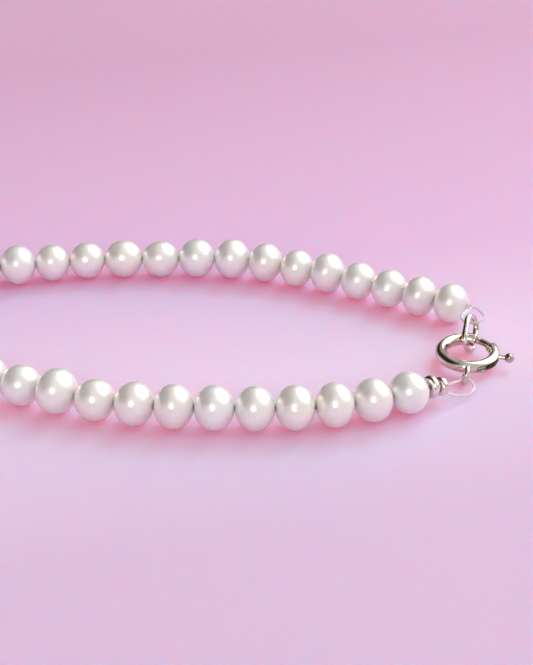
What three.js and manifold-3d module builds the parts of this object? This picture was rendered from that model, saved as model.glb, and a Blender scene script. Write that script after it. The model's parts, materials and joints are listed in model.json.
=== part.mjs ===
// Pearl bracelet: a strand of drilled pearls on a clear thread, closed by a spring ring clasp.
// Millimetres, +Z up. The bracelet lies flat on z = 0 as an open loop, with the clasp towards +X.

import * as THREE from 'three'
import { mergeVertices } from 'three/addons/utils/BufferGeometryUtils.js'
import Module from 'manifold-3d'

const wasm = await Module()
wasm.setup()

// Pearls
const pearlDiameter = 5.0
const boreDiameter = 0.9
const beadGap = 0.14
const pearlSides = 12
const pearlArcSteps = 8
const strandSamples = 2000

// Clear thread
const threadDiameter = 0.36
const strandOffset = 0.21
const tailInPearl = 1.0
const pairInPearl = 1.5
const loopClearance = 0.25
const threadSides = 6
const loopStep = 0.42

// Crimp rings between the clasp and the first pearl, in stringing order: drop is how far below the
// first pearl's bore a ring hangs, and gapAfter is the bare thread between it and the next bead.
const crimpLength = 1.0
const crimpBore = 1.1
const crimpRoundness = 0.6
const crimpArcSteps = 6
const crimpSides = 16
const crimpRows = [
  { diameter: 2.2, drop: 0.5, gapAfter: 0.45 },
  { diameter: 2.65, drop: 0.0, gapAfter: 0.3 },
]

// Spring ring: a bent tube with a gate, and a slot in its outer wall for the trigger
const ringOuterDiameter = 7.7
const ringTubeDiameter = 1.45
const ringBoreDiameter = 1.08
const ringSides = 12
const ringSteps = 30
const ringTiltDeg = 3.5
const gateFromDeg = 20
const gateToDeg = 66
const ringPlan = [23.78, -4.78]

// Eye soldered upright to the ring's outer wall, for the thread loop of the near side
const eyeletDeg = -99
const eyeletDiameter = 2.4
const eyeletWireDiameter = 0.6
const eyeletSink = 0.15
const eyeletLean = [0.2, 0, 0.98]
const eyeletSegments = 16
const eyeletWireSides = 6
const eyeletThreadDrop = 0.28
const floorClearance = 0.04

// Sprung bolt inside the ring, with its trigger pin and ball
const boltDiameter = 0.88
const boltSides = 8
const boltSteps = 12
const boltEngageDeg = 5
const boltTailDeg = 9
const triggerDeg = -14
const triggerTravelDeg = 60
const triggerPinDiameter = 0.6
const triggerBallDiameter = 1.16
const triggerReach = 1.05
const ballSides = 12
const ballRings = 8
const slotClearance = 0.08

// Oval jump link that joins the far thread loop to the ring: where it holds the ring, the way it
// points and the way its width leans
const linkWireDiameter = 0.74
const linkHalfWidth = 1.3
const linkStraight = 1.6
const linkSegments = 14
const linkWireSides = 6
const linkEyeClearance = 0.14
const linkPose = { ringDeg: 80, along: [0.2, 0.78, 0.6], across: [-0.35, 0, 0.94] }

// Chosen points of the thread. strand is the plan of the pearls, from the crimps at the clasp's near
// side round to its far side. Each loop is measured from the eye that it passes through.
const threadRoute = {
  strand: [
    [20.1, -13.1], [15.5, -16.1], [7.05, -18.8], [-1.7, -19.35], [-10.6, -18.95], [-19.4, -17.2],
    [-28.1, -13.7], [-37.9, -8.4], [-46.0, -0.6], [-46.2, 9.3], [-38.9, 15.3], [-32.1, 17.1],
    [-23.5, 18.9], [-13.6, 19.3], [-4.1, 18.9], [4.2, 16.3], [12.2, 12.5], [19.5, 7.9], [24.8, 5.2],
  ],
  nearLoop: [
    [-2.35, -4.55, 0.35], [-1.3, -4.05, -0.1], [-0.2, -3.4, -0.42], [0.6, -2.4, -0.54],
    [0.95, -1.35, -0.44], [0.62, -0.45, -0.2], [0, 0, 0], [-0.6, -1.05, 0.26], [-1.35, -2.3, 0.65],
  ],
  farLoop: [
    [0.6, 4.7, -0.15], [0.3, 3.9, -0.15], [-0.5, 2.9, -0.16], [-1.07, 1.8, -0.19], [-0.92, 0.65, -0.17],
    [0, 0, 0], [0.85, -0.25, 0.17], [1.45, 0.6, 0.3], [1.55, 1.8, 0.16], [1.3, 3.0, 0.0],
    [0.95, 4.2, -0.15],
  ],
}

// Each pearl's size as shares of the pearl diameter, in stringing order from the crimps:
// across is its width over the strand, along its length on the thread.
const pearlSizes = [
  { across: 0.98, along: 0.87 }, { across: 1.0, along: 0.86 }, { across: 1.03, along: 0.85 },
  { across: 1.03, along: 0.86 }, { across: 1.01, along: 0.86 }, { across: 1.03, along: 0.87 },
  { across: 1.03, along: 0.86 }, { across: 1.01, along: 0.87 }, { across: 0.96, along: 0.9 },
  { across: 1.06, along: 0.9 }, { across: 0.95, along: 0.9 },
  { across: 0.98, along: 0.88 }, { across: 1.0, along: 0.87 }, { across: 0.97, along: 0.88 },
  { across: 1.02, along: 0.89 }, { across: 0.99, along: 0.87 }, { across: 1.01, along: 0.88 },
  { across: 0.96, along: 0.86 }, { across: 1.0, along: 0.88 }, { across: 0.98, along: 0.87 },
  { across: 1.02, along: 0.88 },
  { across: 1.03, along: 0.88 }, { across: 0.96, along: 0.86 }, { across: 0.95, along: 0.9 },
  { across: 0.98, along: 0.96 }, { across: 0.95, along: 0.93 }, { across: 1.01, along: 0.92 },
  { across: 1.04, along: 0.9 }, { across: 1.02, along: 0.85 }, { across: 0.97, along: 0.83 },
  { across: 1.03, along: 0.83 }, { across: 0.96, along: 0.86 }, { across: 0.97, along: 0.84 },
  { across: 1.0, along: 0.82 }, { across: 1.0, along: 0.82 },
]

const pearlMaterial = new THREE.MeshStandardMaterial({ color: 0xf3ece8, roughness: 0.22, metalness: 0.0 })
const threadMaterial = new THREE.MeshStandardMaterial({
  color: 0xeadfe8, roughness: 0.1, metalness: 0.0, transparent: true, opacity: 0.5,
})
const steelMaterial = new THREE.MeshStandardMaterial({ color: 0xb9b4ae, roughness: 0.12, metalness: 1.0 })

const toRadians = THREE.MathUtils.degToRad
const up = new THREE.Vector3(0, 0, 1)

// A curve that runs straight from point to point, one step for each.
class PointPath extends THREE.Curve {
  constructor(points) {
    super()
    this.points = points
  }

  getPoint(t, target = new THREE.Vector3()) {
    const place = THREE.MathUtils.clamp(t, 0, 1) * (this.points.length - 1)
    const index = Math.min(Math.floor(place), this.points.length - 2)
    return target.lerpVectors(this.points[index], this.points[index + 1], place - index)
  }

  getUtoTmapping(share) {
    return share
  }
}

// A regular outline of so many sides round the origin, as a shape or as a hole.
function polygon(radius, sides, Kind = THREE.Shape) {
  const corners = Array.from({ length: sides }, (_, index) => {
    const angle = (index + 0.5) * 2 * Math.PI / sides
    return new THREE.Vector2(radius * Math.cos(angle), radius * Math.sin(angle))
  })
  return new Kind(corners)
}

function sweep(section, points) {
  const path = new PointPath(points)
  return new THREE.ExtrudeGeometry(section, { steps: points.length - 1, extrudePath: path })
}

// A manifold solid from a closed geometry, and back.
function solidOf(geometry) {
  const bare = geometry.clone()
  bare.deleteAttribute('normal')
  bare.deleteAttribute('uv')
  const merged = mergeVertices(bare, 1e-4)
  const vertProperties = new Float32Array(merged.attributes.position.array)
  const triVerts = new Uint32Array(merged.index.array)
  return new wasm.Manifold(new wasm.Mesh({ numProp: 3, vertProperties, triVerts }))
}

function geometryOf(solid) {
  const { vertProperties, triVerts } = solid.getMesh()
  const geometry = new THREE.BufferGeometry()
  geometry.setAttribute('position', new THREE.BufferAttribute(vertProperties, 3))
  geometry.setIndex(new THREE.BufferAttribute(triVerts, 1))
  geometry.computeVertexNormals()
  return geometry
}

function namedMesh(name, geometry, material) {
  const mesh = new THREE.Mesh(geometry, material)
  mesh.name = name
  return mesh
}

// Turns a mesh so that its own Y axis lies along the thread, and keeps its Z axis as near up as it can.
function alignToThread(mesh, centre, direction) {
  const side = new THREE.Vector3().crossVectors(direction, up).normalize()
  const top = new THREE.Vector3().crossVectors(side, direction)
  mesh.quaternion.setFromRotationMatrix(new THREE.Matrix4().makeBasis(side, direction, top))
  mesh.position.copy(centre)
  return mesh
}

// Where each crimp and pearl lies: joints are the points halfway between neighbours along the strand.
// The plan is scaled about the ring so that it is exactly as long as what is strung on it.
function layOutStrand() {
  const ringFoot = new THREE.Vector3(ringPlan[0], ringPlan[1], 0)
  const pearls = pearlSizes.map(({ across, along }) => {
    const radius = across * pearlDiameter / 2
    return { kind: 'pearl', length: along * pearlDiameter, radius, height: radius, gapAfter: beadGap }
  })
  const crimps = crimpRows.map(({ diameter, drop, gapAfter }) => ({
    kind: 'crimp', length: crimpLength, radius: diameter / 2, height: pearls[0].height - drop, gapAfter,
  }))
  const beads = [...crimps, ...pearls]
  const total = beads.reduce((sum, bead) => sum + bead.length + bead.gapAfter, 0)

  const plan = threadRoute.strand.map(([x, y]) => new THREE.Vector3(x, y, 0))
  const share = total / new THREE.CatmullRomCurve3(plan, false, 'centripetal').getLength()
  const scaled = plan.map((point) => point.sub(ringFoot).multiplyScalar(share).add(ringFoot))
  const curve = new THREE.CatmullRomCurve3(scaled, false, 'centripetal')
  curve.arcLengthDivisions = strandSamples

  let run = beadGap / 2
  const joints = [curve.getPointAt(0)]
  for (const bead of beads) {
    run += bead.length + bead.gapAfter
    joints.push(curve.getPointAt(Math.min((run - bead.gapAfter / 2) / total, 1)))
  }
  joints.forEach((joint, index) => {
    const before = beads[Math.max(index - 1, 0)]
    const after = beads[Math.min(index, beads.length - 1)]
    joint.z = (before.height + after.height) / 2
  })
  joints[0].z -= joints[1].z - beads[0].height
  beads.forEach((bead, index) => {
    const gapBefore = index > 0 ? beads[index - 1].gapAfter : beadGap
    bead.direction = new THREE.Vector3().subVectors(joints[index + 1], joints[index])
    if (bead.kind === 'pearl') bead.direction.setZ(0)
    bead.direction.normalize()
    bead.centre = joints[index].clone().addScaledVector(bead.direction, (gapBefore + bead.length) / 2)
    if (bead.kind === 'pearl') bead.centre.z = bead.height
  })
  return { beads, joints }
}

// A drilled bead: its closed profile goes up the bore and back over the outside.
function pearlGeometry(radius, length) {
  const boreRadius = boreDiameter / 2
  const mouthAngle = Math.acos(boreRadius / radius)
  const profile = Array.from({ length: pearlArcSteps + 1 }, (_, index) => {
    const angle = -mouthAngle + 2 * mouthAngle * index / pearlArcSteps
    return new THREE.Vector2(radius * Math.cos(angle), length / 2 * Math.sin(angle))
  })
  return new THREE.LatheGeometry([...profile, profile[0]], pearlSides)
}

// A crimp ring: a short tube whose wall swells outward between its two mouths.
function crimpGeometry(radius, length) {
  const bore = crimpBore / 2
  const wall = radius - bore
  const profile = Array.from({ length: crimpArcSteps + 1 }, (_, index) => {
    const angle = Math.PI * (index / crimpArcSteps - 0.5)
    const swell = Math.max(Math.cos(angle), 0) ** crimpRoundness
    return new THREE.Vector2(bore + wall * swell, length / 2 * Math.sin(angle))
  })
  return new THREE.LatheGeometry([...profile, profile[0]], crimpSides)
}

// Ring frame: centre, and a quaternion that tilts its far side up. The eyelet stands just above the
// surface, and that sets the ring's height.
const ringRadius = (ringOuterDiameter - ringTubeDiameter) / 2
const ringTilt = new THREE.Quaternion().setFromAxisAngle(new THREE.Vector3(1, 0, 0), toRadians(ringTiltDeg))

function ringPoint(degrees, radius = ringRadius) {
  const angle = toRadians(degrees)
  return new THREE.Vector3(radius * Math.cos(angle), radius * Math.sin(angle), 0)
}

// The axes of a flat loop of wire: along its length, across its width and square to both.
function wireAxes(along, across) {
  const first = along.clone().normalize()
  const second = across.clone().addScaledVector(first, -across.dot(first)).normalize()
  const normal = new THREE.Vector3().crossVectors(first, second)
  return { first, second, normal }
}

// The eyelet in the ring's own frame, its wire sunk into the tube's wall.
const eyeletReach = ringOuterDiameter / 2 - eyeletSink + eyeletDiameter / 2
const eyeletCentre = ringPoint(eyeletDeg, eyeletReach)
const eyeletAxes = wireAxes(eyeletCentre, new THREE.Vector3(...eyeletLean))
const eyeletFoot = eyeletAxes.second.clone().multiplyScalar(-eyeletDiameter / 2).add(eyeletCentre)
const ringHeight = floorClearance - eyeletFoot.applyQuaternion(ringTilt).z
const ringCentre = new THREE.Vector3(...ringPlan, ringHeight)

function arcPoints(fromDeg, toDeg, steps) {
  return Array.from({ length: steps + 1 }, (_, index) => ringPoint(fromDeg + (toDeg - fromDeg) * index / steps))
}

function eyeletGeometry() {
  const wire = eyeletWireDiameter / 2
  const geometry = new THREE.TorusGeometry(eyeletDiameter / 2 - wire, wire, eyeletWireSides, eyeletSegments)
  const { first, second, normal } = eyeletAxes
  const place = new THREE.Matrix4().makeBasis(first, second, normal).setPosition(eyeletCentre)
  return geometry.applyMatrix4(place)
}

// The tube runs from the gate's left mouth the long way round to its right mouth.
function ringGeometry() {
  const section = polygon(ringTubeDiameter / 2, ringSides)
  section.holes.push(polygon(ringBoreDiameter / 2, ringSides, THREE.Path))
  const tube = solidOf(sweep(section, arcPoints(gateToDeg, gateFromDeg + 360, ringSteps)))

  const slotHalf = triggerPinDiameter / 2 + slotClearance
  const slotEndDeg = THREE.MathUtils.radToDeg(slotHalf / ringRadius)
  const slotDepth = ringTubeDiameter
  const cutter = new THREE.Shape([
    new THREE.Vector2(-slotDepth, -slotHalf), new THREE.Vector2(slotDepth, -slotHalf),
    new THREE.Vector2(slotDepth, slotHalf), new THREE.Vector2(-slotDepth, slotHalf),
  ])
  const slotMiddle = ringRadius + slotDepth
  const from = triggerDeg - triggerTravelDeg - slotEndDeg
  const to = triggerDeg + slotEndDeg
  const slotPoints = Array.from({ length: boltSteps + 1 }, (_, index) =>
    ringPoint(from + (to - from) * index / boltSteps, slotMiddle))
  const slot = solidOf(sweepFlat(cutter, slotPoints))
  return geometryOf(tube.subtract(slot).add(solidOf(eyeletGeometry())))
}

// Sweeps a section whose X points away from the ring's centre and whose Y is the ring's own up.
function sweepFlat(section, points) {
  const corners = section.getPoints()
  const vertices = []
  const faces = []
  points.forEach((point) => {
    const outward = point.clone().normalize()
    corners.forEach((corner) => {
      const place = point.clone().addScaledVector(outward, corner.x).addScaledVector(up, corner.y)
      vertices.push(place.x, place.y, place.z)
    })
  })
  const count = corners.length
  for (let ring = 0; ring < points.length - 1; ring += 1) {
    for (let side = 0; side < count; side += 1) {
      const a = ring * count + side
      const b = ring * count + (side + 1) % count
      faces.push(a, a + count, b, b, a + count, b + count)
    }
  }
  const last = (points.length - 1) * count
  for (let side = 1; side < count - 1; side += 1) {
    faces.push(0, side, side + 1)
    faces.push(last, last + side + 1, last + side)
  }
  const geometry = new THREE.BufferGeometry()
  geometry.setAttribute('position', new THREE.Float32BufferAttribute(vertices, 3))
  geometry.setIndex(faces)
  return geometry
}

// The bolt fills the gate and dips into the far mouth; its pin stands out through the slot.
function boltGeometry() {
  const rod = solidOf(sweep(
    polygon(boltDiameter / 2, boltSides),
    arcPoints(triggerDeg - boltTailDeg, gateToDeg + boltEngageDeg, boltSteps),
  ))
  const ballPlace = ringOuterDiameter / 2 + triggerReach
  const pinLength = ballPlace - ringRadius
  const toward = toRadians(triggerDeg)
  const pin = new THREE.CylinderGeometry(triggerPinDiameter / 2, triggerPinDiameter / 2, pinLength, boltSides)
  pin.rotateZ(-Math.PI / 2)
  pin.translate(ringRadius + pinLength / 2, 0, 0)
  pin.rotateZ(toward)
  const ball = new THREE.SphereGeometry(triggerBallDiameter / 2, ballSides, ballRings)
  ball.translate(ballPlace, 0, 0)
  ball.rotateZ(toward)
  return geometryOf(rod.add(solidOf(pin)).add(solidOf(ball)))
}

// An oval link: a ring of wire with its two halves drawn apart.
function linkGeometry() {
  const geometry = new THREE.TorusGeometry(linkHalfWidth, linkWireDiameter / 2, linkWireSides, linkSegments)
  const places = geometry.attributes.position
  for (let index = 0; index < places.count; index += 1) {
    const around = Math.floor(index % (linkSegments + 1))
    const draw = Math.sign(Math.cos(2 * Math.PI * around / linkSegments)) * linkStraight / 2
    places.setX(index, places.getX(index) + draw)
  }
  return geometry
}

function placeLink() {
  const { first, second, normal } = wireAxes(
    new THREE.Vector3(...linkPose.along), new THREE.Vector3(...linkPose.across))
  const seat = ringPoint(linkPose.ringDeg).applyQuaternion(ringTilt).add(ringCentre)
  const mesh = namedMesh('jump_link', linkGeometry(), steelMaterial)
  mesh.quaternion.setFromRotationMatrix(new THREE.Matrix4().makeBasis(first, second, normal))
  mesh.position.copy(seat).addScaledVector(first, linkStraight / 2)
  const inner = linkStraight + linkHalfWidth - linkWireDiameter / 2
  const eye = seat.clone().addScaledVector(first, inner - threadDiameter / 2 - linkEyeClearance)
  return { mesh, eye }
}

// The thread: tail in the first pearl, near loop, the pearls, far loop, tail in the last pearl.
function threadGeometry({ beads, joints }, nearEye, farEye) {
  const fromEye = (eye, offsets) => offsets.map(([x, y, z]) => new THREE.Vector3(x, y, z).add(eye))
  const along = (bead, distance) => bead.centre.clone().addScaledVector(bead.direction, distance)
  const shifted = (points, offset, share = 1) => points.map((point) => point.clone().addScaledVector(offset, share))
  const rise = up.clone().multiplyScalar(strandOffset)

  const crimps = beads.filter((bead) => bead.kind === 'crimp')
  const pearls = beads.filter((bead) => bead.kind === 'pearl')
  const first = pearls[0]
  const firstMouth = along(first, -first.length / 2)
  const crimpEnds = crimps.flatMap((crimp) => [along(crimp, -crimp.length / 2), along(crimp, crimp.length / 2)])
  const inCrimps = [...crimpEnds.slice(1), firstMouth]
  const leaving = along(crimps[0], -crimps[0].length / 2 - loopClearance)
  const [lowerLeaving] = shifted([leaving], rise, -1)
  const [upperLeaving] = shifted([leaving], rise)
  const nearLoop = new THREE.CatmullRomCurve3(
    [lowerLeaving, ...fromEye(nearEye, threadRoute.nearLoop), upperLeaving], false, 'centripetal')

  const last = pearls[pearls.length - 1]
  const aside = new THREE.Vector3().crossVectors(up, last.direction).multiplyScalar(strandOffset)
  const lastMouth = along(last, last.length / 2)
  const beyondMouth = along(last, last.length / 2 + loopClearance)
  const farLoop = new THREE.CatmullRomCurve3([
    ...shifted([beyondMouth], aside),
    ...fromEye(farEye, threadRoute.farLoop),
    ...shifted([beyondMouth], aside, -1),
  ], false, 'centripetal')

  const spaced = (curve) => curve.getSpacedPoints(Math.round(curve.getLength() / loopStep))
  return sweep(polygon(threadDiameter / 2, threadSides), [
    ...shifted([firstMouth.clone().addScaledVector(first.direction, tailInPearl)], rise, -1),
    ...shifted([...inCrimps].reverse(), rise, -1),
    ...spaced(nearLoop),
    ...shifted([...inCrimps, firstMouth.clone().addScaledVector(first.direction, pairInPearl)], rise),
    ...joints.slice(crimps.length + 1, -1),
    ...shifted([lastMouth.clone().addScaledVector(last.direction, -pairInPearl)], aside),
    ...spaced(farLoop),
    ...shifted([lastMouth.clone().addScaledVector(last.direction, -tailInPearl)], aside, -1),
  ])
}

// Assembly
const bracelet = new THREE.Group()
const strand = layOutStrand()

const clasp = new THREE.Group()
clasp.position.copy(ringCentre)
clasp.quaternion.copy(ringTilt)
clasp.add(namedMesh('clasp_ring', ringGeometry(), steelMaterial.clone()))
clasp.add(namedMesh('clasp_bolt', boltGeometry(), steelMaterial.clone()))

const link = placeLink()
const nearEye = eyeletAxes.second.clone().multiplyScalar(-eyeletThreadDrop).add(eyeletCentre)
nearEye.applyQuaternion(ringTilt).add(ringCentre)
const thread = namedMesh('thread', threadGeometry(strand, nearEye, link.eye), threadMaterial)

let pearlCount = 0
let crimpCount = 0
for (const bead of strand.beads) {
  const isPearl = bead.kind === 'pearl'
  const geometry = (isPearl ? pearlGeometry : crimpGeometry)(bead.radius, bead.length)
  const number = isPearl ? (pearlCount += 1) : (crimpCount += 1)
  const name = isPearl ? `pearl_${String(number).padStart(2, '0')}` : `crimp_${number}`
  const material = (isPearl ? pearlMaterial : steelMaterial).clone()
  bracelet.add(alignToThread(namedMesh(name, geometry, material), bead.centre, bead.direction))
}
bracelet.add(clasp, link.mesh, thread)

// The origin goes to the middle of the bracelet's footprint, on the surface that it lies on.
const footprint = new THREE.Box3().setFromObject(bracelet, true).getCenter(new THREE.Vector3())
bracelet.position.set(-footprint.x, -footprint.y, 0)

export default bracelet
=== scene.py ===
import json
import math

import bmesh
import bpy
import numpy as np
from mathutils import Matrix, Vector, noise


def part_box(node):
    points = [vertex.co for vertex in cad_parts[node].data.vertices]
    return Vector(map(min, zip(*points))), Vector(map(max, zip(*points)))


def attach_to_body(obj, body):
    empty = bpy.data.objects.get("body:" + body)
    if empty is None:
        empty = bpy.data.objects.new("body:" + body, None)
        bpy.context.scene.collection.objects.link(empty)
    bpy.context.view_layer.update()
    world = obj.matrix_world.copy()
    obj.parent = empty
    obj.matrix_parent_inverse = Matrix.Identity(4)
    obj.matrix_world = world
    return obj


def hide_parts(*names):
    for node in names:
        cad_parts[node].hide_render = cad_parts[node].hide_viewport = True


# The looks of the pearl bracelet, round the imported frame. Metres: MM turns millimetres into metres.
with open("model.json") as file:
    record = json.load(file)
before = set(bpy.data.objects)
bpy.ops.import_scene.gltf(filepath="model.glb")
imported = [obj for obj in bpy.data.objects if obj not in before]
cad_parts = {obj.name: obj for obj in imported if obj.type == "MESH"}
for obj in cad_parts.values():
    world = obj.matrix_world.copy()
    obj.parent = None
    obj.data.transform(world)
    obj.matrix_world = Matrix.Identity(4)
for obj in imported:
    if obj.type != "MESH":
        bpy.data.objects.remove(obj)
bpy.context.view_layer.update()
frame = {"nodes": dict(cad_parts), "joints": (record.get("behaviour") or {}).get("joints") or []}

MM = 0.001

# Camera, as fitted to the photograph (533 x 665 pixels)
PHOTO_HEIGHT = 665
FOCAL_PIXELS = 1551
PITCH_DEG = 28
CAMERA_PLACE = Vector((10.165, -165.514, 89.7)) * MM
SENSOR = 36

# Pearls: lengths in millimetres times MM, and shares of a pearl's size
PEARL_COUNT = 35
PEARL_AROUND = 64
PEARL_ARC_STEPS = 40
LIP_STEPS = 4
CAD_BORE_RADIUS = 0.45 * MM
BORE_RADIUS = 0.24 * MM
KNOT_BORE_RADIUS = 0.42 * MM
LIP_RADIUS = 0.1 * MM
MOUTH_REACH = 0.09 * MM
PEARL_FIT = 0.996
UNEVENNESS = 0.012
UNEVEN_SCALE = 0.3 / MM
FINE_UNEVENNESS = 0.3
FINE_SCALE = 2.7
SEED_STEP = Vector((7.31, 3.17, 5.53))
RIM_SHARE = 0.93

# Marks on two pearls, placed by the directions towards the camera and up in the picture
FRONT = Vector((0, -0.883, 0.469))
FRONT_UP = Vector((0, 0.469, 0.883))
CREASED_PEARL = 4
CREASE_DEPTH = 0.03
CREASE_WIDTH = 0.05
CREASE_START = -0.05
CREASE_FADE = 0.06
FACETED_PEARL = 33
FACET_SLANT_DEG = 40
FACET_SWELL = 0.3
FACET_LENGTH = 0.45
FACET_WIDTH = 0.35

# Clasp and links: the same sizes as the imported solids
CRIMP_LENGTH = 1.0 * MM
CRIMP_ROUNDNESS = 0.6
RING_OUTER = 7.7 * MM
RING_TUBE = 1.45 * MM
RING_BORE = 1.08 * MM
GATE_FROM_DEG = 20
GATE_TO_DEG = 66
EYELET_DEG = -99
EYELET_DIAMETER = 2.4 * MM
EYELET_WIRE = 0.6 * MM
EYELET_SINK = 0.15 * MM
EYELET_LEAN = (0.2, 0.98)
BOLT_DIAMETER = 0.88 * MM
BOLT_ENGAGE_DEG = 5
BOLT_TAIL_DEG = 9
TRIGGER_DEG = -14
TRIGGER_TRAVEL_DEG = 60
PIN_DIAMETER = 0.6 * MM
BALL_DIAMETER = 1.16 * MM
BALL_REACH = 1.05 * MM
SLOT_CLEARANCE = 0.08 * MM
LINK_WIRE = 0.74 * MM
LINK_HALF_WIDTH = 1.3 * MM
LINK_STRAIGHT = 1.6 * MM
BOLT_WEAR = 0.07
BOLT_WEAR_SCALE = 2.2
BOLT_MEAN = 0.95
BOLT_END = 0.8

# Fineness of the meshes: faces round a shape, and steps along it
CRIMP_AROUND = 64
WIRE_AROUND = 24
TUBE_AROUND = 36
TUBE_STEPS = 150
RIM_STEPS = 6
SLOT_STEPS = 80
EYELET_STEPS = 72
LINK_STEPS = 96
BOLT_STEPS = 90
BALL_STEPS = 24
METAL_CREASE_DEG = 40
CRIMP_CREASE_DEG = 50

nodes = frame["nodes"]
trigger = next(joint for joint in frame["joints"] if joint["name"] == "trigger")
ring_centre = Vector(trigger["pos_m"])
ring_normal = -Vector(trigger["axis"]).normalized()
ring_radius = (RING_OUTER - RING_TUBE) / 2
ring_across = Vector((1, 0, 0))
ring_away = ring_normal.cross(ring_across)
up = Vector((0, 0, 1))


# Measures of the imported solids

def corners(node):
    """A node's vertices at rest, as rows of x, y, z."""
    mesh = nodes[node].data
    flat = np.zeros(len(mesh.vertices) * 3)
    mesh.vertices.foreach_get("co", flat)
    return flat.reshape(-1, 3)


def centre_of(node):
    low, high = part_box(node)
    return (low + high) / 2


def bore_of(node, rough):
    """A drilled pearl's axis, middle and length between the two rims of its bore."""
    points = corners(node)
    run = (points - np.array(centre_of(node))) @ np.array(rough)
    first = points[run > RIM_SHARE * run.max()].mean(0)
    last = points[run < RIM_SHARE * run.min()].mean(0)
    axis = Vector(first - last)
    return axis.normalized(), Vector((first + last) / 2), axis.length


def principal_axes(node):
    """A node's own axes, from the longest spread to the shortest."""
    points = corners(node)
    _, axes = np.linalg.eigh(np.cov((points - points.mean(0)).T))
    return [Vector(axes[:, column]) for column in (2, 1, 0)]


# Swept and turned shapes

def new_object(name, bm, material, crease_deg=180):
    mesh = bpy.data.meshes.new(name)
    bm.normal_update()
    bm.to_mesh(mesh)
    bm.free()
    mesh.shade_smooth()
    mesh.set_sharp_from_angle(angle=math.radians(crease_deg))
    obj = bpy.data.objects.new(name, mesh)
    bpy.context.scene.collection.objects.link(obj)
    obj.data.materials.append(material)
    return obj


def circle(sides):
    turns = [2 * math.pi * side / sides for side in range(sides)]
    return [(math.cos(turn), math.sin(turn)) for turn in turns]


def loft(rows, closed):
    """A surface through rows of points, each a closed outline; an open run of rows gets two caps."""
    bm = bmesh.new()
    rings = [[bm.verts.new(point) for point in row] for row in rows]
    count = len(rings)
    sides = len(rings[0])
    for index in range(count if closed else count - 1):
        here, there = rings[index], rings[(index + 1) % count]
        for side in range(sides):
            after = (side + 1) % sides
            bm.faces.new((here[side], here[after], there[after], there[side]))
    if not closed:
        bm.faces.new(rings[0])
        bm.faces.new(rings[-1])
    bmesh.ops.recalc_face_normals(bm, faces=bm.faces)
    return bm


def lathe(profile, around, place):
    """Turns a closed profile of (radius, height); place puts (cosine, sine, radius, height) in space."""
    rows = [[place(c, s, radius, height) for radius, height in profile] for c, s in circle(around)]
    return loft(rows, closed=True)


def round_tube(points, radii, normal, closed=False, sides=WIRE_AROUND):
    """Round sections along a flat path; normal is square to the path's plane."""
    count = len(points)
    rows = []
    for index, (point, radius) in enumerate(zip(points, radii)):
        before = points[index - 1] if closed or index else point
        after = points[(index + 1) % count] if closed or index < count - 1 else point
        side = (after - before).normalized().cross(normal)
        rows.append([point + (side * c + normal * s) * radius for c, s in circle(sides)])
    return loft(rows, closed)


def combine(obj, other, operation):
    """Joins another object to this one, or cuts it away."""
    modifier = obj.modifiers.new("combine", "BOOLEAN")
    modifier.object = other
    modifier.operation = operation
    modifier.solver = "EXACT"
    bpy.context.view_layer.objects.active = obj
    bpy.ops.object.modifier_apply(modifier=modifier.name)
    bpy.data.objects.remove(other)


def attach(piece, node, body):
    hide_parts(node)
    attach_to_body(piece, body)


# Material helpers

def material_nodes(name):
    material = bpy.data.materials.new(name)
    material.use_nodes = True
    tree = material.node_tree
    return material, tree, tree.nodes["Principled BSDF"]


def set_shader(shader, values):
    for name, value in values.items():
        shader.inputs[name].default_value = value


def add_node(tree, kind, **values):
    node = tree.nodes.new(kind)
    for key, value in values.items():
        if key in node.inputs:
            node.inputs[key].default_value = value
        else:
            setattr(node, key, value)
    return node


def noise_texture(tree, scale, detail=2.0, roughness=0.5):
    place = tree.nodes.new("ShaderNodeTexCoord")
    texture = add_node(tree, "ShaderNodeTexNoise", Scale=scale, Detail=detail, Roughness=roughness)
    tree.links.new(place.outputs["Object"], texture.inputs["Vector"])
    return texture.outputs["Fac"]


def colour_ramp(tree, source, stops):
    ramp = tree.nodes.new("ShaderNodeValToRGB")
    elements = ramp.color_ramp.elements
    while len(elements) < len(stops):
        elements.new(0.5)
    for element, (place, colour) in zip(elements, stops):
        element.position = place
        element.color = (*colour, 1)
    tree.links.new(source, ramp.inputs["Fac"])
    return ramp.outputs["Color"]


def along_direction(tree, output, direction, low, high, smooth=False):
    """0 where a point lies at low along a direction, 1 where it lies at high."""
    place = tree.nodes.new("ShaderNodeTexCoord")
    dot = add_node(tree, "ShaderNodeVectorMath", operation="DOT_PRODUCT")
    dot.inputs[1].default_value = Vector(direction).normalized()
    tree.links.new(place.outputs[output], dot.inputs[0])
    spread = tree.nodes.new("ShaderNodeMapRange")
    spread.interpolation_type = "SMOOTHSTEP" if smooth else "LINEAR"
    spread.inputs["From Min"].default_value = low
    spread.inputs["From Max"].default_value = high
    tree.links.new(dot.outputs["Value"], spread.inputs["Value"])
    return spread.outputs["Result"]


def vary_roughness(tree, shader, source, low, high):
    spread = tree.nodes.new("ShaderNodeMapRange")
    spread.inputs["To Min"].default_value = low
    spread.inputs["To Max"].default_value = high
    tree.links.new(source, spread.inputs["Value"])
    tree.links.new(spread.outputs["Result"], shader.inputs["Roughness"])


def add_bump(tree, shader, source, distance, strength):
    bump = add_node(tree, "ShaderNodeBump", Strength=strength, Distance=distance)
    tree.links.new(source, bump.inputs["Height"])
    tree.links.new(bump.outputs["Normal"], shader.inputs["Normal"])


# Materials

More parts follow.
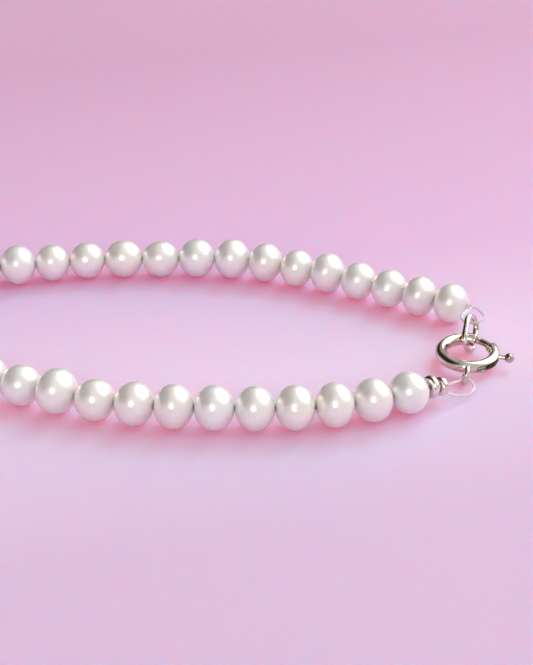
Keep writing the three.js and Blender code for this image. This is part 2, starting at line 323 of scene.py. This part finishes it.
def nacre(name, light, deep):
    """White nacre: a soft lustre under a clear skin, with faint clouding and a fine uneven surface."""
    material, tree, shader = material_nodes(name)
    clouds = colour_ramp(tree, noise_texture(tree, 420, 3), [(0.3, deep), (0.7, light)])
    tree.links.new(clouds, shader.inputs["Base Color"])
    vary_roughness(tree, shader, noise_texture(tree, 900), 0.26, 0.36)
    add_bump(tree, shader, noise_texture(tree, 1100, 3), 0.00001, 0.5)
    set_shader(shader, {
        "Metallic": 0.34,
        "IOR": 1.6,
        "Subsurface Weight": 0.8,
        "Subsurface Radius": (1.0, 0.75, 0.65),
        "Subsurface Scale": 0.004,
        "Coat Weight": 0.7,
        "Coat Roughness": 0.14,
        "Coat IOR": 1.55,
    })
    return material


def polished_metal(name, light, deep, roughness, dent):
    """Plated metal: mirror bright, with faint wear marks, dents and a slight tarnish."""
    material, tree, shader = material_nodes(name)
    tarnish = colour_ramp(tree, noise_texture(tree, 700, 4, 0.6), [(0.35, deep), (0.6, light)])
    tree.links.new(tarnish, shader.inputs["Base Color"])
    vary_roughness(tree, shader, noise_texture(tree, 2400, 5, 0.65), roughness * 0.6, roughness * 1.5)
    add_bump(tree, shader, noise_texture(tree, 1500, 3), dent, 0.5)
    set_shader(shader, {"Metallic": 1.0})
    return material


def clear_line(name):
    """Clear nylon line."""
    material, tree, shader = material_nodes(name)
    haze = noise_texture(tree, 1800, 3)
    tint = colour_ramp(tree, haze, [(0.3, (0.86, 0.78, 0.84)), (0.7, (0.95, 0.91, 0.94))])
    tree.links.new(tint, shader.inputs["Base Color"])
    vary_roughness(tree, shader, haze, 0.05, 0.14)
    set_shader(shader, {"Transmission Weight": 0.45, "IOR": 1.5})
    return material


def painted_shade_floor_material(name):
    """A pale pink floor with painted shade: darker at the front edge, and darkening and deepening towards
    the back left where the light falls off; light spreads in it, so its shadows turn warm.
    """
    material, tree, shader = material_nodes(name)
    # Painted shade: the colour ramp darkens the floor towards the back left, where the light falls off,
    # and leaves a darker strip at the front edge
    back = along_direction(tree, "Object", (-0.25, 0.97, 0), -0.04, 0.11)
    colour = colour_ramp(tree, back, [
        (0.0, (0.7, 0.51, 0.72)),
        (0.2, (0.81, 0.6, 0.81)),
        (0.4, (0.72, 0.46, 0.71)),
        (1.0, (0.6, 0.34, 0.53)),
    ])
    tree.links.new(colour, shader.inputs["Base Color"])
    set_shader(shader, {
        "Roughness": 0.8,
        "Specular IOR Level": 0.2,
        "Subsurface Weight": 0.9,
        "Subsurface Radius": (0.4, 0.025, 0.018),
        "Subsurface Scale": 0.2,
    })
    return material


NACRES = [
    nacre("nacre_white", (0.93, 0.9, 0.86), (0.88, 0.84, 0.8)),
    nacre("nacre_cream", (0.93, 0.89, 0.83), (0.88, 0.83, 0.77)),
    nacre("nacre_rose", (0.93, 0.87, 0.84), (0.88, 0.81, 0.78)),
    nacre("nacre_silver", (0.91, 0.89, 0.87), (0.86, 0.84, 0.82)),
]
PLATED = polished_metal("plated_metal", (0.8, 0.76, 0.69), (0.54, 0.47, 0.38), 0.1, 0.00002)
BRIGHT = polished_metal("bright_metal", (0.87, 0.84, 0.79), (0.62, 0.54, 0.45), 0.07, 0.00002)
WORN = polished_metal("worn_metal", (0.6, 0.56, 0.51), (0.18, 0.14, 0.1), 0.2, 0.00014)
LINE = clear_line("clear_nylon")


# Pearls

def pearl_profile(radius, half, bore):
    """From one bore mouth over the outside to the other and back through the bore, with rounded lips."""
    mouth = math.acos((bore + LIP_RADIUS) / radius)
    outside = []
    for step in range(PEARL_ARC_STEPS + 1):
        angle = -mouth + 2 * mouth * step / PEARL_ARC_STEPS
        outside.append((radius * math.cos(angle), half * math.sin(angle)))
    edge = half * math.sin(mouth)
    lip = []
    for step in range(1, LIP_STEPS + 1):
        turn = math.pi / 2 * step / LIP_STEPS
        lip.append((bore + LIP_RADIUS * (1 - math.sin(turn)), edge - LIP_RADIUS * (1 - math.cos(turn))))
    deep = edge - LIP_RADIUS
    wall = [(bore, deep * share) for share in (0.5, 0, -0.5)]
    return outside + lip + wall + [(r, -h) for r, h in reversed(lip)]


def feature(number, direction):
    """Single marks on the fronts of two pearls: a level crease on one, a slanted long facet on another."""
    if number not in (CREASED_PEARL, FACETED_PEARL) or direction.dot(FRONT) < 0:
        return 0
    across = direction.x
    rise = direction.dot(FRONT_UP)
    if number == CREASED_PEARL:
        fade = 1 + math.exp(-(across - CREASE_START) / CREASE_FADE)
        return -CREASE_DEPTH * math.exp(-(rise / CREASE_WIDTH) ** 2) / fade
    slant = math.radians(FACET_SLANT_DEG)
    run = across * math.cos(slant) + rise * math.sin(slant)
    off = rise * math.cos(slant) - across * math.sin(slant)
    return FACET_SWELL * run ** 2 * math.exp(-(run / FACET_LENGTH) ** 2 - (off / FACET_WIDTH) ** 2)


def make_pearl(number, before, after):
    node = f"pearl_{number:02d}"
    axis, middle, length = bore_of(node, (after - before).normalized())
    low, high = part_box(node)
    radius = (high.z - low.z) / 2 * PEARL_FIT
    bend = (middle - before).angle(after - middle, 0)
    bore = KNOT_BORE_RADIUS if number in (1, PEARL_COUNT) else BORE_RADIUS
    reach = max(0, MOUTH_REACH - (bore + LIP_RADIUS) * math.sin(bend / 2))
    half = length / 2 / math.sin(math.acos(CAD_BORE_RADIUS / radius)) + reach
    side = axis.cross(up).normalized()
    top = side.cross(axis)
    seed = SEED_STEP * number

    def place(cosine, sine, r, h):
        point = (side * cosine + top * sine) * r + axis * h
        broad = noise.noise(point * UNEVEN_SCALE + seed)
        fine = noise.noise(point * UNEVEN_SCALE * FINE_SCALE + seed)
        swell = broad + FINE_UNEVENNESS * fine
        swell = swell * UNEVENNESS * r / radius + feature(number, point.normalized())
        return middle + point * (1 + swell)

    bm = lathe(pearl_profile(radius, half, bore), PEARL_AROUND, place)
    skin = NACRES[(number * 3 + number // 4) % len(NACRES)]
    attach(new_object(f"pearl_skin_{number:02d}", bm, skin), node, "bracelet")


centres = [centre_of(f"pearl_{number:02d}") for number in range(1, PEARL_COUNT + 1)]
for index, centre in enumerate(centres):
    before = centres[index - 1] if index else 2 * centre - centres[1]
    after = centres[index + 1] if index < PEARL_COUNT - 1 else 2 * centre - centres[-2]
    make_pearl(index + 1, before, after)


# Crimp rings

def make_crimp(number):
    node = f"crimp_{number}"
    axis = principal_axes(node)[2]
    middle = centre_of(node)
    offsets = corners(node) - np.array(middle)
    reach = np.linalg.norm(offsets - np.outer(offsets @ np.array(axis), axis), axis=1)
    bore, outer = reach.min(), reach.max()
    profile = []
    for step in range(PEARL_ARC_STEPS + 1):
        angle = math.pi * (step / PEARL_ARC_STEPS - 0.5)
        swell = max(math.cos(angle), 0) ** CRIMP_ROUNDNESS
        profile.append((bore + (outer - bore) * swell, CRIMP_LENGTH / 2 * math.sin(angle)))
    side = axis.cross(up).normalized()
    top = side.cross(axis)

    def place(cosine, sine, r, h):
        return middle + (side * cosine + top * sine) * r + axis * h

    bm = lathe(profile, CRIMP_AROUND, place)
    crimp = new_object(f"crimp_ring_{number}", bm, BRIGHT, crease_deg=CRIMP_CREASE_DEG)
    attach(crimp, node, "bracelet")


make_crimp(1)
make_crimp(2)


# Jump link: an oval of round wire

def make_link():
    middle = centre_of("jump_link")
    first, second, normal = principal_axes("jump_link")
    path = []
    for cosine, sine in circle(LINK_STEPS):
        shift = math.copysign(LINK_STRAIGHT / 2, cosine)
        along = first * (LINK_HALF_WIDTH * cosine + shift)
        path.append(middle + along + second * LINK_HALF_WIDTH * sine)
    wire = round_tube(path, [LINK_WIRE / 2] * len(path), normal, closed=True)
    attach(new_object("jump_link_wire", wire, BRIGHT), "jump_link", "bracelet")


make_link()


# Clasp ring, in its own frame: a bent tube with a gate, a slot for the trigger and a soldered eyelet

def ring_point(degrees, radius=ring_radius, rise=0.0):
    angle = math.radians(degrees)
    flat = ring_across * math.cos(angle) + ring_away * math.sin(angle)
    return ring_centre + flat * radius + ring_normal * rise


def ring_tube():
    """The tube, with rounded rims at its two mouths."""
    outer, inner = RING_TUBE / 2, RING_BORE / 2
    wall = (outer - inner) / 2
    span = 360 - (GATE_TO_DEG - GATE_FROM_DEG)
    degrees = [GATE_TO_DEG + span * step / TUBE_STEPS for step in range(TUBE_STEPS + 1)]

    def rim(mouth, sign):
        rounded = []
        for step in range(1, RIM_STEPS):
            turn = math.pi * step / RIM_STEPS
            ahead = math.degrees(wall * math.sin(turn) / ring_radius) * sign
            rounded.append((mouth + ahead, inner + wall + wall * math.cos(turn)))
        return rounded

    path = [(degree, outer) for degree in degrees] + rim(degrees[-1], 1)
    path += [(degree, inner) for degree in reversed(degrees)] + rim(degrees[0], -1)[::-1]
    rows = []
    for degree, r in path:
        rows.append([ring_point(degree, ring_radius + r * c, r * s) for c, s in circle(TUBE_AROUND)])
    return loft(rows, closed=True)


def slot_cutter():
    """A bar through the tube's outer wall, as long as the trigger's way and round at both ends."""
    half = PIN_DIAMETER / 2 + SLOT_CLEARANCE
    way = math.radians(TRIGGER_TRAVEL_DEG) * ring_radius
    near, far = ring_radius + 0.15 * MM, ring_radius + RING_TUBE
    rows = []
    for step in range(SLOT_STEPS + 1):
        run = (way + 1.96 * half) * step / SLOT_STEPS - 0.98 * half
        over = max(0, -run, run - way)
        width = math.sqrt(half ** 2 - over ** 2)
        degree = TRIGGER_DEG - math.degrees(run / ring_radius)
        rows.append([
            ring_point(degree, radius, rise)
            for radius, rise in ((near, -width), (near, width), (far, width), (far, -width))
        ])
    return loft(rows, closed=False)


def eyelet_ring():
    """The eye that stands upright on the ring's outer wall."""
    wire = EYELET_WIRE / 2
    centre = ring_point(EYELET_DEG, RING_OUTER / 2 - EYELET_SINK + EYELET_DIAMETER / 2)
    outward = (centre - ring_centre).normalized()
    lean = ring_across * EYELET_LEAN[0] + ring_normal * EYELET_LEAN[1]
    rising = (lean - outward * lean.dot(outward)).normalized()
    reach = EYELET_DIAMETER / 2 - wire
    path = [centre + (outward * c + rising * s) * reach for c, s in circle(EYELET_STEPS)]
    return round_tube(path, [wire] * len(path), outward.cross(rising), closed=True)


def make_ring():
    ring = new_object("clasp_tube", ring_tube(), PLATED)
    combine(ring, new_object("slot_cutter", slot_cutter(), PLATED), "DIFFERENCE")
    combine(ring, new_object("eyelet", eyelet_ring(), PLATED), "UNION")
    ring.data.set_sharp_from_angle(angle=math.radians(METAL_CREASE_DEG))
    attach(ring, "clasp_ring", "bracelet")


make_ring()


# Bolt: a sprung rod that closes the gate, with a pin and a ball to draw it back by

def make_bolt():
    start = TRIGGER_DEG - BOLT_TAIL_DEG
    span = GATE_TO_DEG + BOLT_ENGAGE_DEG - start
    path = [ring_point(start + span * step / BOLT_STEPS) for step in range(BOLT_STEPS + 1)]
    wear = [BOLT_MEAN + BOLT_WEAR * noise.noise(point * BOLT_WEAR_SCALE / MM) for point in path]
    wear[0] = wear[-1] = BOLT_END
    rod_radii = [BOLT_DIAMETER / 2 * w for w in wear]
    bolt = new_object("clasp_trigger", round_tube(path, rod_radii, ring_normal), WORN)

    ball_place = RING_OUTER / 2 + BALL_REACH
    ball_radius = BALL_DIAMETER / 2
    pin_radius = PIN_DIAMETER / 2
    neck = math.asin(pin_radius / ball_radius)
    reaches, radii = [ring_radius], [pin_radius]
    for step in range(BALL_STEPS):
        turn = neck + (math.pi - neck) * step / BALL_STEPS
        reaches.append(ball_place - ball_radius * math.cos(turn))
        radii.append(ball_radius * math.sin(turn))
    pin_path = [ring_point(TRIGGER_DEG, reach) for reach in reaches]
    pin = new_object("trigger_pin", round_tube(pin_path, radii, ring_normal), WORN)
    combine(bolt, pin, "UNION")
    bolt.data.set_sharp_from_angle(angle=math.radians(METAL_CREASE_DEG))
    attach(bolt, "clasp_bolt", "bolt")


make_bolt()


# Thread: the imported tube, rounded

def make_thread():
    bm = bmesh.new()
    bm.from_mesh(nodes["thread"].data)
    bmesh.ops.remove_doubles(bm, verts=bm.verts, dist=0.001 * MM)
    bmesh.ops.join_triangles(
        bm, faces=bm.faces, angle_face_threshold=math.radians(40), angle_shape_threshold=math.radians(60))
    thread = new_object("nylon_line", bm, LINE)
    rounding = thread.modifiers.new("rounding", "SUBSURF")
    rounding.levels = rounding.render_levels = 2
    bpy.context.view_layer.objects.active = thread
    bpy.ops.object.modifier_apply(modifier=rounding.name)
    attach(thread, "thread", "bracelet")


make_thread()


# Floor, lights and camera

def make_floor():
    reach = 3.0
    below = -0.02 * MM
    plan = ((-reach, -reach), (reach, -reach), (reach, reach), (-reach, reach))
    bm = bmesh.new()
    bm.faces.new([bm.verts.new((x, y, below)) for x, y in plan])
    # The floor's material carries painted shade, darker towards the back left
    new_object("floor", bm, painted_shade_floor_material("pale_floor_painted_shade"))


def soft_light(name, direction, distance, width, height, radiance, colour):
    """An area light that shines at the bracelet from a direction."""
    light = bpy.data.lights.new(name, "AREA")
    light.shape = "ELLIPSE"
    light.size = width
    light.size_y = height
    light.energy = radiance * math.pi * width * height * math.pi / 4
    light.color = colour
    obj = bpy.data.objects.new(name, light)
    bpy.context.scene.collection.objects.link(obj)
    toward = Vector(direction).normalized()
    obj.location = toward * distance
    obj.rotation_mode = "QUATERNION"
    obj.rotation_quaternion = toward.to_track_quat("Z", "Y")


def make_sky():
    """A studio room, pale all round, with dark patches on the left, at the back and low in front."""
    world = bpy.data.worlds.new("studio")
    bpy.context.scene.world = world
    world.use_nodes = True
    tree = world.node_tree
    base = (0.6, 0.5, 0.56, 1)
    # Each patch: its direction, the angles at which it is full and gone, and its colour
    patches = [
        ((0, 0, 1), 20, 80, (0.46, 0.45, 0.44)),
        ((0.1, -0.8, 0.6), 20, 75, (0.66, 0.65, 0.63)),
        ((-0.72, -0.08, 0.69), 16, 40, (0.05, 0.03, 0.02)),
        ((-0.66, 0.45, 0.6), 16, 36, (0.05, 0.03, 0.02)),
        ((-0.25, 0.93, 0.22), 10, 26, (0.06, 0.035, 0.02)),
        ((-0.52, 0.82, 0.22), 14, 32, (0.05, 0.03, 0.02)),
        ((-0.1, -1, 0.06), 7, 15, (0.03, 0.02, 0.03)),
    ]
    colour = None
    for direction, inner_deg, outer_deg, tint in patches:
        inner = math.cos(math.radians(inner_deg))
        outer = math.cos(math.radians(outer_deg))
        amount = along_direction(tree, "Generated", direction, outer, inner, smooth=True)
        blend = tree.nodes.new("ShaderNodeMixRGB")
        tree.links.new(amount, blend.inputs["Fac"])
        if colour is None:
            blend.inputs["Color1"].default_value = base
        else:
            tree.links.new(colour, blend.inputs["Color1"])
        blend.inputs["Color2"].default_value = (*tint, 1)
        colour = blend.outputs["Color"]
    tree.links.new(colour, tree.nodes["Background"].inputs["Color"])


def make_camera():
    data = bpy.data.cameras.new("camera")
    data.sensor_width = SENSOR
    data.lens = FOCAL_PIXELS / PHOTO_HEIGHT * SENSOR
    data.clip_start = 0.005
    data.clip_end = 20
    camera = bpy.data.objects.new("camera", data)
    camera.location = CAMERA_PLACE
    camera.rotation_euler = (math.radians(90 - PITCH_DEG), 0, 0)
    bpy.context.scene.collection.objects.link(camera)
    bpy.context.scene.camera = camera


# Each light: name, direction, distance, width, height, radiance and colour
LIGHTS = [
    ("window_right", (0.64, 0.34, 0.69), 1.2, 1.7, 1.6, 1.6, (1.0, 0.99, 0.96)),
    ("window_back", (0.42, 0.6, 0.68), 1.0, 0.34, 0.34, 9.0, (1.0, 0.99, 0.96)),
    ("window_front", (-0.14, -0.87, 0.5), 0.8, 0.24, 0.24, 10.0, (1.0, 0.99, 0.98)),
]

make_floor()
make_sky()
for light_row in LIGHTS:
    soft_light(*light_row)
make_camera()
bpy.context.scene.view_settings.view_transform = "Standard"
